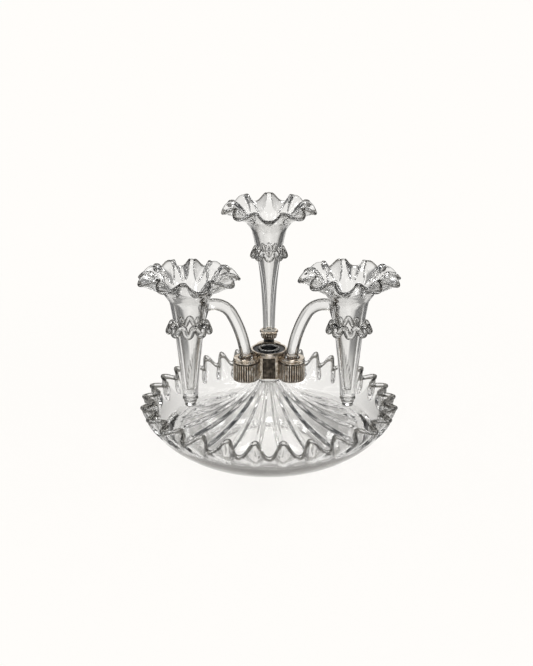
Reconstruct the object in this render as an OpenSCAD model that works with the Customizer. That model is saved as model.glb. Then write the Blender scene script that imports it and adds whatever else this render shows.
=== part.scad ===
// Clear glass epergne: a crimped bowl, a plated mount and three ruffled trumpet vases.
// Millimetres, +Z up, origin at the middle of the bowl's foot.

/* [Bowl] */
// Mean diameter of the crimped rim
bowl_d = 250; // [236:1:266]
// Mean height of the rim over the table
bowl_h = 53.5; // [51:0.5:58]
// Thickness of the glass at the rim
rim_wall = 3.2; // [2.6:0.1:4]
// Outer diameter of the foot ring
foot_d = 112; // [106:1:118]
// Width of the foot ring
foot_w = 8; // [5:0.5:10]
// Thickness of the glass from the foot ring up to the trough
apron_wall = 4.6; // [4:0.2:5.4]
// Distance of the lowest circle of the trough in from the rim
trough_in = 21; // [20:0.5:24]
// Height of the trough over the table
trough_z = 26.5; // [25.5:0.5:28.5]
// Number of crimps round the rim
crimp_n = 25; // [18:1:30]
// In and out swing of a crimp from the mean rim
crimp_out = 4.6; // [2:0.2:6]
// Up and down swing of a crimp from the mean rim
crimp_drop = 5.2; // [2:0.2:7]
// Height of wall that the crimps fade out over
crimp_reach = 22; // [16:1:23]
// Uneven spacing of the hand-made crimps, in degrees
crimp_drift = 3.4; // [0:0.2:4]

/* [Bowl centre] */
// Thickness of the cone's wall
cone_wall = 5; // [4:0.2:6]
// Number of ribs on the cone
rib_n = 20; // [12:1:22]
// Height of a rib over the cone
rib_h = 1.7; // [1:0.1:2]
// Thickness of a rib's rod at the foot of the cone
rib_d_foot = 8; // [7:0.2:9]
// Thickness of a rib's rod at the top of the cone
rib_d_top = 3.4; // [2.8:0.1:3.8]
// Height of the seat that the mount stands on
seat_z = 82; // [76:1:90]
// Diameter of the seat ring
seat_d = 25.6; // [24:0.2:28]
// Thickness of the seat ring
seat_h = 4.4; // [3:0.2:6]
// Outer diameter of the hollow peg over the seat
peg_d = 20.8; // [20:0.1:21.6]
// Bore of the hollow peg
peg_bore = 15.2; // [13:0.2:16]
// Height of the hollow peg over the seat
peg_h = 28.4; // [27.6:0.2:31]

/* [Mount] */
// Distance of a cup's axis from the middle
cup_reach = 26; // [25.4:0.1:28]
// Outer diameter of a cup
cup_d = 25; // [23.6:0.2:25.6]
// Height of a cup
cup_h = 22.7; // [20:0.1:25]
// Bore of a cup
cup_bore = 15.9; // [15:0.1:16]
// Thickness of a cup's floor
cup_floor = 2; // [1.4:0.2:3]
// Number of grooves in the full round of a cup
groove_n = 32; // [24:1:36]
// Width of one groove cutter
groove_d = 1.8; // [1.2:0.1:1.9]
// Depth of a groove
groove_deep = 0.6; // [0.4:0.05:0.8]
// Height of the moulded lip over the grooves
lip_h = 4.2; // [3.4:0.2:5]
// Diameter of the drum between the cups
drum_d = 33.6; // [32:0.2:34.6]
// Outer diameter of the raised rim
crown_d = 35.8; // [35:0.1:36]
// Wall of the raised rim
crown_wall = 1.9; // [1.4:0.1:2.4]
// Height of the raised rim over the cups
crown_h = 4.7; // [4:0.1:6]
// Thickness of the web under the bush's flange
crown_web = 0.8; // [0.6:0.1:1.2]
// Thickness of the lip under the bush
drum_lip = 2.4; // [1.6:0.2:3.4]
// Width of a panel between two cups
panel_w = 12.4; // [10:0.2:13]
// Height of a panel
panel_h = 20.4; // [16:0.2:20.6]
// Thickness of a panel
panel_t = 1.4; // [1:0.1:1.8]
// Distance of a panel's back from the middle
panel_reach = 14.4; // [14.2:0.1:14.8]
// Width of a panel's raised frame
panel_frame = 1.2; // [0.8:0.1:1.8]
// Depth of a panel's field under its frame
panel_field = 0.5; // [0.3:0.1:0.7]

/* [Bush and corks] */
// Thickness of the bush's sleeve
bush_wall = 1.3; // [1:0.1:1.5]
// Thickness of the bush's flange
bush_flange = 2.8; // [2:0.1:3]
// Depth of a cork's top under its cup's lip
cork_low = 1.3; // [0.8:0.1:2]
// Diameter of the pegs that stand in the corks
stem_d = 10.4; // [9:0.1:11]
// Length of a peg in its cork
stem_l = 17; // [14:0.5:19]
// Radial clearance of a sliding or turning fit
fit = 0.05; // [0.02:0.01:0.1]
// Radial room round the peg where the mount's lip passes it
pass = 0.4; // [0.3:0.05:0.6]
// Gap at a soldered or hot-sealed seam
seam = 0.02; // [0.01:0.01:0.03]

/* [Arms] */
// Thickness of an arm's rod
arm_d = 11.6; // [10.6:0.1:12.4]
// Diameter of the foot ring over the cork
arm_foot_d = 14.6; // [14:0.1:15.4]
// Height of the foot ring
arm_foot_h = 3.6; // [2.6:0.2:5]
// Lean of the rod at its foot, in degrees
arm_lean = 8; // [4:1:12]
// Lean where the wide bend becomes the tight one, in degrees
arm_turn = 30; // [26:1:36]
// Radius of the wide lower bend
arm_wide = 124; // [114:1:134]
// Radius of the tight upper bend
arm_tight = 27; // [22:1:32]
// Length of the drawn-out tail under the arm's seal
tail_l = 9; // [6:0.5:9.5]
// Thickness of the tail's tip
tail_d = 3; // [2:0.2:4]

/* [Side trumpets] */
// Distance of a side trumpet's axis from the middle
side_reach = 87.4; // [84:0.2:92]
// How far the tip of a side trumpet hangs below the top of its cup
side_drop = 38.7; // [38:0.1:40.4]
// Length of the ringed knop
knop_l = 12; // [10:0.5:14]
// Diameter of the upper ring of the knop
knop_d = 15.2; // [14:0.2:16.4]
// Diameter of the lower ring of the knop
knop_tip_d = 12.4; // [11:0.2:13.4]
// Diameter of the groove over the knop
knop_neck_d = 13.2; // [12.8:0.1:14]
// Diameter of the body over the knop
side_base_d = 15; // [14:0.2:16.4]
// Diameter that the body swells to before its neck
side_swell_d = 24.8; // [23:0.2:26.4]
// Diameter of the neck where the mouth starts to open
side_neck_d = 36.6; // [34:0.2:39]
// Length from the knop to where the mouth starts to open
side_body_l = 95; // [90:0.5:99]
// Height of the collar's middle over the knop
side_collar_z = 69; // [62:0.5:71]
// Diameter of the collar's crimps
side_collar_d = 42; // [38:0.5:46]
// Mean diameter of the mouth
side_mouth_d = 89; // [82:0.5:96]
// Height of the mouth's mean edge over the neck
side_mouth_h = 24; // [21:0.5:28]

/* [Rear trumpet] */
// Diameter of the glass in the ferrule
rear_base_d = 11.2; // [10.4:0.1:11.8]
// Diameter that the body swells to before its neck
rear_swell_d = 15; // [13.6:0.2:17]
// Diameter of the neck where the mouth starts to open
rear_neck_d = 35; // [32:0.2:38]
// Length from the ferrule's floor to where the mouth starts to open
rear_body_l = 110.5; // [105:0.5:118]
// Height of the collar's middle over the ferrule's floor
rear_collar_z = 87.5; // [81:0.5:90.5]
// Diameter of the collar's crimps
rear_collar_d = 34.6; // [32:0.2:40]
// Mean diameter of the mouth
rear_mouth_d = 84; // [78:0.5:92]
// Height of the mouth's mean edge over the neck
rear_mouth_h = 21; // [18:0.5:25]
// Height of the ferrule's underside over the cups
ferrule_lift = 6.9; // [6:0.1:8]
// Height of the ferrule
ferrule_h = 8; // [7:0.2:10]
// Diameter of the ferrule's body
ferrule_d = 15.4; // [14.8:0.1:16.2]
// Bore of the ferrule
ferrule_bore = 13; // [12.6:0.1:13.2]
// Diameter of the ferrule's rolled flange
flange_d = 18.6; // [18:0.1:19.6]
// Thickness of the ferrule's rolled flange
flange_h = 2.6; // [2:0.1:3]
// Thickness of the ferrule's floor
ferrule_floor = 1.6; // [1.2:0.1:2]
// Number of gadroons round the ferrule
gadroon_n = 20; // [14:1:22]
// Thickness of one gadroon
gadroon_d = 2; // [1.4:0.1:2.1]
// Diameter of the screwed spigot under the ferrule
spigot_d = 6; // [4:0.2:7]
// Diameter of the stem's shoulder on its cork
shoulder_d = 13.4; // [12.4:0.1:14]
// Thickness of the stem's shoulder
shoulder_h = 1.6; // [1:0.1:2]
// Thickness of plaster under the glass
plaster_floor = 1; // [0.6:0.1:1.6]

/* [Trumpet glass] */
// Thickness of the glass at the neck
neck_wall = 3.4; // [2.8:0.1:4]
// Thickness of the glass at the mouth's edge
lip_wall = 2.8; // [2.2:0.1:3.4]
// Thickness of the glass at the foot of the hollow
root_wall = 4.6; // [4:0.1:5]
// Height of solid glass under the hollow
root_solid = 12; // [9:0.5:16]
// Number of ruffles round a mouth
ruffle_n = 10; // [7:1:12]
// In and out swing of a ruffle
ruffle_out = 4; // [1:0.5:6]
// Up and down swing of a ruffle
ruffle_drop = 7; // [2:0.5:9]
// Number of crimps round a collar
frill_n = 9; // [7:1:12]
// Thickness of a collar's ribbon
frill_t = 4; // [3:0.2:5]
// Up and down swing of a collar's crimps
frill_drop = 4; // [2:0.2:4.6]
// In and out swing of a collar's crimps
frill_out = 2; // [0:0.2:3]
// Room between a collar's free edge and the body
frill_clear = 0.5; // [0.3:0.1:0.8]

/* [Hidden] */
$fn = 96;

// Directions of the three cups and of the panels between them
left_dir = 210;
right_dir = 330;
rear_dir = 90;
front_dir = 270;
cup_dirs = [left_dir, right_dir, rear_dir];
panel_dirs = [front_dir, front_dir - 120, front_dir + 120];

// Heights shared by the mount and what stands in it
cup_top = seat_z + cup_h;
cork_top = cup_top - cork_low;
cork_foot = seat_z + cup_floor;
crown_floor = cup_top + crown_web;
cork_d = cup_bore - 2 * fit;
side_z = cup_top - side_drop;
side_foot_z = side_z + knop_l;
side_neck_z = side_foot_z + side_body_l;
ferrule_z = cup_top + ferrule_lift;
rear_foot_z = ferrule_z + ferrule_floor + plaster_floor;
rear_neck_z = ferrule_z + ferrule_floor + rear_body_l;

// Steps of the faceted rims
steps_per_crimp = 8;
rim_steps = crimp_n * steps_per_crimp;
mouth_steps = ruffle_n * steps_per_crimp;
frill_steps = frill_n * steps_per_crimp;
// A faceted rim reaches this far into the turned body under it
tongue = 1;
tongue_in = 0.6;
lap = 0.05;
cut = 1;

// Curves
function mix(a, b, t) = a + (b - a) * t;
function bezier(p, t) = p[0] * pow(1 - t, 3) + 3 * p[1] * pow(1 - t, 2) * t
    + 3 * p[2] * (1 - t) * pow(t, 2) + p[3] * pow(t, 3);
function heading(p, t) = let (
    d = (p[1] - p[0]) * pow(1 - t, 2) + 2 * (p[2] - p[1]) * (1 - t) * t + (p[3] - p[2]) * pow(t, 2)
) d / norm(d);
function left_of(d) = [-d[1], d[0]];
function shifted(p, t, w) = bezier(p, t) + w * left_of(heading(p, t));
// Place along a curve at which coordinate k reaches v, by halving
function place_of(p, k, v, lo = 0, hi = 1, left = 30) = left == 0 ? (lo + hi) / 2 : let (
    m = (lo + hi) / 2,
    below = (bezier(p, m)[k] < v) == (p[3][k] > p[0][k])
) below ? place_of(p, k, v, m, hi, left - 1) : place_of(p, k, v, lo, m, left - 1);
function radius_at(p, z) = bezier(p, place_of(p, 1, z))[0];

// A ring of closed sections, one list of points per step of the turn
module ring_solid(sections) {
    n = len(sections);
    m = len(sections[0]);
    polyhedron(
        points = [for (s = sections, p = s) p],
        faces = [for (i = [0:n - 1], j = [0:m - 1], half = [0, 1]) let (
            a = i * m + j,
            b = i * m + (j + 1) % m,
            c = ((i + 1) % n) * m + j,
            d = ((i + 1) % n) * m + (j + 1) % m
        ) half == 0 ? [a, d, c] : [a, b, d]]
    );
}
function turned(p, a) = [p[0] * cos(a), p[0] * sin(a), p[1]];

// Bowl
rim_r = bowl_d / 2;
foot_r = foot_d / 2;
trough_r = rim_r - trough_in;
crimp_z = bowl_h - crimp_reach;
belly_run = 24;
belly_rise = 4;
wall_rise = 31.5;
wall_lean = 6;
inside_rise = 17.5;
inside_lean = 8.3;
trough_run = 4;
cone_top_in = 1.2;
cone_tip = [seat_d / 2 - cone_top_in, seat_z - seat_h];
cone_low = [0.325, 0.147];
cone_high = [0.747, 0.485];
bowl_outside = [
    [foot_r, 0], [foot_r + belly_run, belly_rise],
    [rim_r - wall_lean, bowl_h - wall_rise], [rim_r, bowl_h]
];
bowl_inside = [
    [trough_r, trough_z], [trough_r + trough_run, trough_z],
    [rim_r - rim_wall - inside_lean, bowl_h - inside_rise], [rim_r - rim_wall, bowl_h]
];
// The curve that the bowl's middle is drawn up along, from the trough to the seat
function cone_at(share) = [mix(trough_r, cone_tip[0], share[0]), mix(trough_z, cone_tip[1], share[1])];
cone = [[trough_r, trough_z], cone_at(cone_low), cone_at(cone_high), cone_tip];

function crimp_phase(a) = crimp_n * (a - crimp_drift * sin(2 * a));
function crimp_wave(a) = cos(crimp_phase(a) - crimp_phase(front_dir));
function crimped(p, a) = let (
    grow = pow(max(0, p[1] - crimp_z) / crimp_reach, 1.4),
    wave = crimp_wave(a) * grow
) turned([p[0] + crimp_out * wave, p[1] - crimp_drop * wave], a);

module bowl_turned() {
    inside_end = place_of(bowl_inside, 1, crimp_z);
    outside_end = place_of(bowl_outside, 1, crimp_z);
    wall_points = 8;
    rotate_extrude() polygon(concat(
        [[0, 0]],
        [for (i = [0:wall_points]) bezier(bowl_outside, outside_end * i / wall_points)],
        [for (i = [wall_points:-1:0]) bezier(bowl_inside, inside_end * i / wall_points)],
        [for (i = [1:wall_points]) bezier(cone, i / wall_points)],
        [[seat_d / 2, seat_z - 0.75 * seat_h], [seat_d / 2, seat_z - 0.25 * seat_h]],
        [[seat_d / 2 - 0.25 * seat_h, seat_z], [peg_d / 2, seat_z]],
        [[peg_d / 2, seat_z + peg_h - fit], [peg_d / 2 - fit, seat_z + peg_h], [0, seat_z + peg_h]]
    ));
}
// The hollow under the bowl, between the foot's wall and the cone
module bowl_hollow() {
    under = foot_r - foot_w;
    wall_ends = [0.1, 0.5];
    cone_start = 0.15;
    hollow_points = 7;
    rotate_extrude() polygon(concat(
        [[0, -cut], [under, -cut], [under, 0.8 * apron_wall]],
        [for (i = [0:hollow_points])
            shifted(bowl_outside, mix(wall_ends[0], wall_ends[1], i / hollow_points), apron_wall)],
        [for (i = [0:hollow_points]) shifted(cone, mix(cone_start, 1, i / hollow_points), cone_wall)],
        [[0, shifted(cone, 1, cone_wall)[1]]]
    ));
}
// A rod of glass along the cone between two places on its curve
module rib_rod(from, to, d1, d2, sink) {
    a = shifted(cone, from, d1 / 2 - rib_h);
    b = shifted(cone, to, d2 / 2 - rib_h + sink);
    lean = atan2(b[1] - a[1], a[0] - b[0]);
    translate([a[0], 0, a[1]]) rotate([0, lean - 90, 0]) cylinder(d1 = d1, d2 = d2, h = norm(b - a));
}
module bowl_rib() {
    foot = 0.3;
    knee = 0.6;
    past = 0.06;
    rib_d_knee = mix(rib_d_foot, rib_d_top, 0.5);
    rib_rod(foot, knee + past, rib_d_foot, rib_d_knee, past);
    rib_rod(knee, 1, rib_d_knee, rib_d_top, cone_top_in);
}
module bowl_rim() {
    levels = [0.4, 0.75, 1];
    outer = [for (s = levels) let (z = crimp_z + s * crimp_reach) [radius_at(bowl_outside, z), z]];
    inner = [for (s = levels) let (z = crimp_z + s * crimp_reach) [radius_at(bowl_inside, z), z]];
    wall_out = radius_at(bowl_outside, crimp_z);
    wall_in = radius_at(bowl_inside, crimp_z);
    section = concat(
        [[wall_out - tongue_in, crimp_z - tongue], [wall_out - lap, crimp_z + lap]],
        outer,
        [[rim_r - rim_wall / 2, bowl_h + rim_wall / 3]],
        [for (i = [len(levels) - 1:-1:0]) inner[i]],
        [[wall_in + lap, crimp_z + lap], [wall_in + tongue_in, crimp_z - tongue]]
    );
    ring_solid([for (i = [0:rim_steps - 1]) let (a = 360 * i / rim_steps) [for (p = section) crimped(p, a)]]);
}
module bowl() {
    color("gainsboro") difference() {
        union() {
            bowl_turned();
            for (i = [0:rib_n - 1]) rotate([0, 0, 360 * i / rib_n]) bowl_rib();
            bowl_rim();
        }
        bowl_hollow();
        translate([0, 0, seat_z - seat_h - cone_wall - peg_bore]) cylinder(d = peg_bore, h = seat_z);
    }
}

// Mount
module at_cup(dir) { rotate([0, 0, dir]) translate([cup_reach, 0, 0]) children(); }
module hub_drum() {
    bore_d = peg_d + 2 * (fit + bush_wall + fit);
    color("silver") difference() {
        union() {
            difference() {
                translate([0, 0, seat_z]) cylinder(d = drum_d, h = cup_h);
                for (dir = cup_dirs) at_cup(dir)
                    translate([0, 0, seat_z - cut]) cylinder(d = cup_d + 2 * seam, h = cup_h + 2 * cut);
                for (dir = panel_dirs) rotate([0, 0, dir])
                    translate([panel_reach - seam, -drum_d / 2, seat_z - cut])
                        cube([drum_d, drum_d, cup_h + 2 * cut]);
            }
            translate([0, 0, cup_top]) cylinder(d = crown_d, h = crown_h);
        }
        translate([0, 0, crown_floor]) cylinder(d = crown_d - 2 * crown_wall, h = crown_h);
        translate([0, 0, seat_z + drum_lip]) cylinder(d = bore_d, h = cup_h);
        translate([0, 0, seat_z - cut]) cylinder(d = peg_d + 2 * pass, h = cup_h);
    }
}
module socket(dir) {
    r = cup_d / 2;
    throat = lip_h / 6;
    lip_z = cup_top - lip_h;
    hidden = groove_d;
    color("silver") at_cup(dir) difference() {
        rotate_extrude() polygon([
            [0, seat_z], [r - throat, seat_z], [r, seat_z + throat], [r, lip_z],
            [r - throat, lip_z + throat], [r, lip_z + 2 * throat], [r, cup_top - throat],
            [r - throat, cup_top], [0, cup_top]
        ]);
        translate([0, 0, cork_foot]) cylinder(d = cup_bore, h = cup_h);
        for (i = [0:groove_n - 1]) let (a = 360 * (i + 0.5) / groove_n)
            if (cup_reach + r * cos(a) > drum_d / 2 + hidden)
                rotate([0, 0, a]) translate([r + groove_d / 2 - groove_deep, 0, seat_z + 2 * throat])
                    cylinder(d = groove_d, h = lip_z - seat_z - 3 * throat);
    }
}
module left_socket() { socket(left_dir); }
module right_socket() { socket(right_dir); }
module rear_socket() { socket(rear_dir); }
module panel(dir) {
    low = seat_z + (cup_h - panel_h) / 2;
    color("dimgray") rotate([0, 0, dir]) difference() {
        translate([panel_reach, -panel_w / 2, low]) cube([panel_t, panel_w, panel_h]);
        translate([panel_reach + panel_t - panel_field, panel_frame - panel_w / 2, low + panel_frame])
            cube([panel_t, panel_w - 2 * panel_frame, panel_h - 2 * panel_frame]);
    }
}
module front_panel() { panel(panel_dirs[0]); }
module left_panel() { panel(panel_dirs[1]); }
module right_panel() { panel(panel_dirs[2]); }

// Bush and corks
module hub_bush() {
    sleeve_d = peg_d + 2 * (fit + bush_wall);
    color("dimgray") difference() {
        union() {
            translate([0, 0, seat_z + drum_lip]) cylinder(d = sleeve_d, h = crown_floor - seat_z - drum_lip);
            translate([0, 0, crown_floor]) cylinder(d = crown_d - 2 * (crown_wall + fit), h = bush_flange);
        }
        translate([0, 0, seat_z]) cylinder(d = peg_d + 2 * fit, h = cup_h + crown_h + cut);
    }
}
module cork(dir) {
    color("saddlebrown") at_cup(dir) difference() {
        translate([0, 0, cork_foot]) cylinder(d = cork_d, h = cork_top - cork_foot);
        translate([0, 0, cork_foot - cut]) cylinder(d = stem_d + 2 * fit, h = cup_h + 2 * cut);
    }
}
module left_cork() { cork(left_dir); }
module right_cork() { cork(right_dir); }
module rear_cork() { cork(rear_dir); }
module cork_peg() { translate([0, 0, cork_top - stem_l]) cylinder(d = stem_d, h = stem_l); }

// Trumpets: the outer and inner curves of a body, from its foot to its neck
body_low = 0.32;
body_high = 0.66;
function body_outside(base_d, swell_d, neck_d, foot_z, neck_z) = [
    [base_d / 2, foot_z], [mix(base_d, swell_d, 0.5) / 2, mix(foot_z, neck_z, body_low)],
    [swell_d / 2, mix(foot_z, neck_z, body_high)], [neck_d / 2, neck_z]
];
function body_inside(base_d, swell_d, neck_d, foot_z, neck_z) = [
    [base_d / 2 - root_wall, foot_z + root_solid],
    [mix(base_d, swell_d, 0.5) / 2 - root_wall, mix(foot_z + root_solid, neck_z, body_low)],
    [swell_d / 2 - neck_wall, mix(foot_z, neck_z, body_high)], [neck_d / 2 - neck_wall, neck_z]
];
side_sizes = [side_base_d, side_swell_d, side_neck_d, side_foot_z, side_neck_z];
rear_sizes = [rear_base_d, rear_swell_d, rear_neck_d, rear_foot_z, rear_neck_z];
function outside_of(s) = body_outside(s[0], s[1], s[2], s[3], s[4]);
function inside_of(s) = body_inside(s[0], s[1], s[2], s[3], s[4]);
body_points = 10;
function outline_of(s, gap) = [for (i = [0:body_points]) bezier(outside_of(s), i / body_points) + [gap, 0]];
// Radius of the turned body at a height, along its straight outline
function outline_radius(s, z) = let (
    p = outline_of(s, 0),
    i = min([for (k = [1:body_points]) if (p[k][1] >= z) k])
) mix(p[i - 1][0], p[i][0], (z - p[i - 1][1]) / (p[i][1] - p[i - 1][1]));

module trumpet_body(s, foot) {
    neck_z = s[4];
    rotate_extrude() polygon(concat(
        foot,
        outline_of(s, 0),
        [for (i = [body_points:-1:0]) bezier(inside_of(s), i / body_points)],
        [[0, s[3] + root_solid]]
    ));
}
// The ruffled mouth over a neck
module trumpet_mouth(s, mouth_d, mouth_h, start) {
    neck_r = s[2] / 2;
    neck_z = s[4];
    levels = [0.3, 0.6, 0.85, 1];
    flare = [
        [neck_r, neck_z], [neck_r + mouth_h / 3, neck_z + mouth_h / 2],
        [mouth_d / 2 - mouth_h / 2, neck_z + mouth_h * 0.9], [mouth_d / 2, neck_z + mouth_h]
    ];
    tip = heading(flare, 1) * lip_wall / 3;
    flat_section = concat(
        [[neck_r - tongue_in, neck_z - tongue, 0], [neck_r - lap, neck_z + lap, 0]],
        [for (t = levels) let (p = bezier(flare, t)) [p[0], p[1], t]],
        [let (p = shifted(flare, 1, lip_wall / 2) + tip) [p[0], p[1], 1]],
        [for (i = [len(levels) - 1:-1:0]) let (
            t = levels[i],
            p = shifted(flare, t, mix(neck_wall, lip_wall, t))
        ) [p[0], p[1], t]],
        [[neck_r - neck_wall + lap, neck_z + lap, 0], [neck_r - neck_wall + tongue_in, neck_z - tongue, 0]]
    );
    ring_solid([for (i = [0:mouth_steps - 1]) let (
        a = 360 * i / mouth_steps,
        wave = cos(ruffle_n * (a - start))
    ) [for (p = flat_section) let (grow = pow(p[2], 1.5) * wave)
        turned([p[0] + ruffle_out * grow, p[1] - ruffle_drop * grow], a)]]);
}
// A crimped ribbon of glass round a body
module frill(s, middle, tip_d, start) {
    half = frill_t / 2;
    low = middle - half;
    high = middle + half;
    tip_r = tip_d / 2;
    root = outline_radius(s, high + frill_drop) + frill_clear + frill_out;
    flat_section = [
        [outline_radius(s, low) + seam + lap, low, 0],
        [root, low, 0.8],
        [tip_r, middle - half / 2, 1],
        [tip_r, middle + half / 2, 1],
        [root, high, 0.8],
        [outline_radius(s, high) + seam + lap, high, 0]
    ];
    ring_solid([for (i = [0:frill_steps - 1]) let (
        a = 360 * i / frill_steps,
        wave = cos(frill_n * (a - start))
    ) [for (p = flat_section) let (grow = p[2] * wave)
        turned([p[0] + frill_out * grow, p[1] - frill_drop * grow], a)]]);
}

// Side trumpets with their arms
module at_side(dir) { rotate([0, 0, dir]) translate([side_reach, 0, 0]) children(); }
side_knop = let (groove = knop_l / 15) [
    [0, side_z], [knop_tip_d / 4, side_z], [knop_tip_d / 2, side_z + 0.22 * knop_l],
    [knop_tip_d / 2, side_z + 0.36 * knop_l], [knop_tip_d / 2 - groove, side_z + 0.46 * knop_l],
    [knop_d / 2, side_z + 0.58 * knop_l], [knop_d / 2, side_z + 0.74 * knop_l],
    [knop_neck_d / 2, side_z + 0.88 * knop_l]
];
module side_trumpet(dir) {
    color("gainsboro") at_side(dir) union() {
        trumpet_body(side_sizes, side_knop);
        trumpet_mouth(side_sizes, side_mouth_d, side_mouth_h, front_dir - dir + 180 / ruffle_n);
    }
}
module side_collar(dir) {
    color("whitesmoke") at_side(dir)
        frill(side_sizes, side_foot_z + side_collar_z, side_collar_d, front_dir - dir);
}
module left_trumpet() { side_trumpet(left_dir); }
module right_trumpet() { side_trumpet(right_dir); }
module left_collar() { side_collar(left_dir); }
module right_collar() { side_collar(right_dir); }

// One bend of an arm: from lean a to lean b, with radius r, starting at the origin of its plane
module bend(a, b, r) {
    translate([r * cos(a), 0, -r * sin(a)]) rotate([90, 0, 0]) rotate([0, 0, 180 - b])
        rotate_extrude(angle = b - a) translate([r, 0]) circle(d = arm_d);
}
function bend_end(a, b, r) = [r * (cos(a) - cos(b)), r * (sin(b) - sin(a))];
module side_arm(dir) {
    foot_z = cork_top;
    rod_z = foot_z + arm_foot_h;
    knee = [cup_reach, rod_z] + bend_end(arm_lean, arm_turn, arm_wide);
    top = knee + bend_end(arm_turn, 90, arm_tight);
    f = arm_foot_d / 2;
    edge = f / 9;
    collar_z = rod_z + arm_foot_h / 6;
    tail_in = arm_d / 6;
    color("gainsboro") rotate([0, 0, dir]) difference() {
        union() {
            translate([cup_reach, 0, 0]) cork_peg();
            translate([cup_reach, 0, 0]) rotate_extrude() polygon([
                [0, foot_z - cut], [stem_d / 2, foot_z - cut], [stem_d / 2, foot_z], [f - edge, foot_z],
                [f, foot_z + 0.25 * arm_foot_h], [f, foot_z + 0.5 * arm_foot_h],
                [f - edge, foot_z + 0.8 * arm_foot_h], [arm_d * 0.52, collar_z], [0, collar_z]
            ]);
            translate([cup_reach, 0, rod_z]) bend(arm_lean, arm_turn, arm_wide);
            translate([knee[0], 0, knee[1]]) bend(arm_turn, 90, arm_tight);
            translate([top[0], 0, top[1]]) rotate([0, 90, 0]) cylinder(d = arm_d, h = side_reach - top[0]);
            for (p = [knee, top]) translate([p[0], 0, p[1]]) sphere(d = arm_d + 2 * lap);
            translate([side_reach - outline_radius(side_sizes, top[1]), 0, top[1] - arm_d / 2 - tail_l + tail_in])
                cylinder(d1 = tail_d, d2 = arm_d * 0.9, h = tail_l);
        }
        translate([side_reach, 0, 0]) rotate_extrude() polygon(concat(
            [[0, side_foot_z]], outline_of(side_sizes, seam), [[0, side_neck_z]]
        ));
    }
}
module left_arm() { side_arm(left_dir); }
module right_arm() { side_arm(right_dir); }

// Rear trumpet with its ferrule
module rear_trumpet() {
    color("gainsboro") at_cup(rear_dir) union() {
        trumpet_body(rear_sizes, [[0, rear_foot_z]]);
        trumpet_mouth(rear_sizes, rear_mouth_d, rear_mouth_h, 0);
    }
}
module rear_collar() {
    color("whitesmoke") at_cup(rear_dir)
        frill(rear_sizes, ferrule_z + ferrule_floor + rear_collar_z, rear_collar_d, 0);
}
module rear_ferrule() {
    r = ferrule_d / 2;
    band_h = ferrule_h - flange_h;
    inset = flange_h / 4;
    color("silver") at_cup(rear_dir) translate([0, 0, ferrule_z]) difference() {
        union() {
            rotate_extrude() polygon([
                [0, 0], [r - inset, 0], [r, inset], [r, band_h],
                [flange_d / 2 - inset, band_h], [flange_d / 2, band_h + inset],
                [flange_d / 2, ferrule_h - inset], [flange_d / 2 - inset, ferrule_h], [0, ferrule_h]
            ]);
            for (i = [0:gadroon_n - 1]) rotate([0, 0, 360 * i / gadroon_n])
                translate([r - gadroon_d / 4, 0, 0.75 * gadroon_d])
                    cylinder(d = gadroon_d, h = band_h - 1.25 * gadroon_d);
        }
        translate([0, 0, ferrule_floor]) cylinder(d = ferrule_bore, h = ferrule_h);
        translate([0, 0, -cut]) cylinder(d = spigot_d + 2 * seam, h = ferrule_h);
    }
}
module ferrule_plaster() {
    low = ferrule_z + ferrule_floor;
    fill_h = ferrule_h - ferrule_floor - 0.6 * plaster_floor;
    color("linen") at_cup(rear_dir) difference() {
        translate([0, 0, low]) cylinder(d = ferrule_bore - 2 * seam, h = fill_h);
        rotate_extrude() polygon(concat([[0, rear_foot_z]], outline_of(rear_sizes, seam), [[0, rear_neck_z]]));
    }
}
module rear_stem() {
    color("black") at_cup(rear_dir) union() {
        cork_peg();
        translate([0, 0, cork_top]) cylinder(d = shoulder_d, h = shoulder_h);
        translate([0, 0, cork_top]) cylinder(d = stem_d, h = ferrule_z - cork_top);
        translate([0, 0, cork_top]) cylinder(d = spigot_d, h = ferrule_z + ferrule_floor - cork_top);
    }
}

bowl();
hub_drum();
left_socket();
right_socket();
rear_socket();
front_panel();
left_panel();
right_panel();
hub_bush();
left_cork();
right_cork();
rear_cork();
left_trumpet();
left_collar();
left_arm();
right_trumpet();
right_collar();
right_arm();
rear_trumpet();
rear_collar();
rear_ferrule();
ferrule_plaster();
rear_stem();
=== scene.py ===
"""A clear glass epergne on a plated three-cup mount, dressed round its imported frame."""
import logging
import math
from dataclasses import dataclass
from enum import Enum
from typing import Any, Callable, Iterable, Sequence

import bpy
import numpy as np
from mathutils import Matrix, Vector


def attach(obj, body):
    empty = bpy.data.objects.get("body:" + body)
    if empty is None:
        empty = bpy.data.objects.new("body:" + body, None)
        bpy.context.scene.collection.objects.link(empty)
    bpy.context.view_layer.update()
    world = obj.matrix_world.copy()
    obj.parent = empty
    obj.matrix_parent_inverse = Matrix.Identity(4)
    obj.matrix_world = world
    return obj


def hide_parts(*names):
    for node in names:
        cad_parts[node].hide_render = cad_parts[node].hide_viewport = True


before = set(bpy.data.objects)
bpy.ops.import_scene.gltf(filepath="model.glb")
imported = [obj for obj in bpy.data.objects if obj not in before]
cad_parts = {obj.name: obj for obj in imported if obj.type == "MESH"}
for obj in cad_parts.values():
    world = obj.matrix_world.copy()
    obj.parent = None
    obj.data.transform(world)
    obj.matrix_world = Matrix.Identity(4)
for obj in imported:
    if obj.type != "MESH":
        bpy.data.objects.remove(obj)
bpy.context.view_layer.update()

LOG = logging.getLogger("epergne")
MM = 0.001
WELD = 0.002 * MM
ON_LINE = 0.4
FRONT = 270.0
GLASS_CREASE = 42.0
PLATE_CREASE = 38.0
Array = np.ndarray
Piece = bpy.types.Object
Point = tuple[float, float]
Span = tuple[float, float]
Row = tuple[float, float, float]
Colour = tuple[float, float, float]
Rule = Callable[[Array], Array]


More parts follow.
